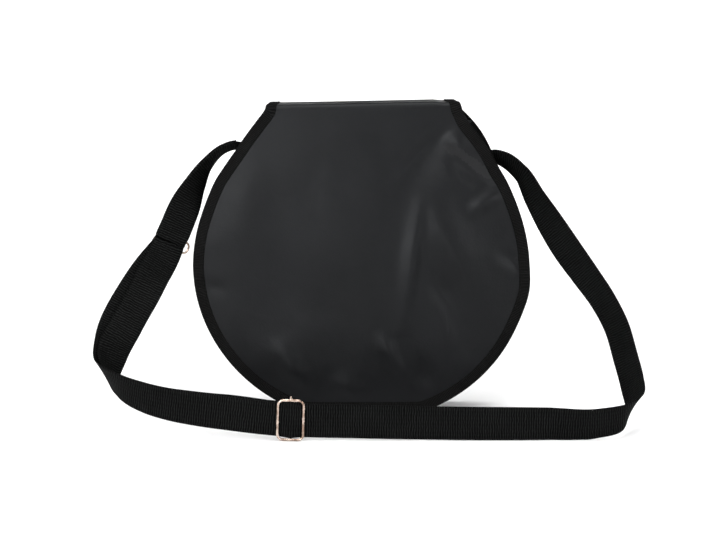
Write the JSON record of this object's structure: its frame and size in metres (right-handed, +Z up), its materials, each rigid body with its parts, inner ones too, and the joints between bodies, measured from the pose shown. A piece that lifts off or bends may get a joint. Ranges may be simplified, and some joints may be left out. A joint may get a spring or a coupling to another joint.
{
  "type": "shoulder bag",
  "caption": "Round, flat-topped shoulder bag for golf shoes, with a full flap bound in tape and an adjustable webbing strap that lies in front of it.",
  "frame": {"origin": "middle of the flattened base of the bag, on the floor", "axes": "+X to the right seen from the front, +Y to the back, +Z up"},
  "size_m": [0.6065, 0.2003, 0.3595],
  "materials": {
    "coated_fabric": "satin coated weave",
    "binding_tape": "woven tape",
    "webbing": "ribbed webbing",
    "hook_and_loop": "matte pile",
    "plated_wire": "polished plating"
  },
  "bodies": {
    "bag": {"back_panel": "coated_fabric", "front_panel": "coated_fabric", "gusset": "coated_fabric", "front_binding": "binding_tape", "back_binding": "binding_tape", "mouth_hem": "binding_tape", "loop_tape": "hook_and_loop", "tab_sewn_end": "webbing", "strap_sewn_end": "webbing"},
    "flap": {"flap_panel": "coated_fabric", "flap_binding": "binding_tape", "hook_tape": "hook_and_loop"},
    "strap": {"strap_tab": "webbing", "strap_right_fall": "webbing", "strap_right_corner": "webbing", "strap_front_run": "webbing", "strap_left_corner": "webbing", "strap_left_rise": "webbing", "return_left_corner": "webbing", "return_left_rise": "webbing"},
    "ring": {"ring": "plated_wire", "strap_ring_turn": "webbing"},
    "slider": {"slider_frame": "plated_wire", "slider_bar": "plated_wire", "slider_loop": "webbing"}
  },
  "joints": [
    {"name": "flap_hinge", "type": "hinge", "parent": "bag", "child": "flap", "pos_m": [0, 0.024, 0.3578], "axis": [-1, 0, 0], "range_deg": [0, 250]},
    {"name": "strap_swing", "type": "hinge", "parent": "bag", "child": "strap", "pos_m": [0, -0.001, 0.3065], "axis": [-1, 0, 0], "range_deg": [0, 160]},
    {"name": "ring_swivel", "type": "hinge", "parent": "strap", "child": "ring", "pos_m": [-0.215, -0.03352, 0.20066], "axis": [-0.8489, -0.1997, 0.4894], "range_deg": [-12, 12]},
    {"name": "slider_slide", "type": "slide", "parent": "strap", "child": "slider", "axis": [1, 0, 0], "range_m": [-0.02, 0.15]}
  ]
}
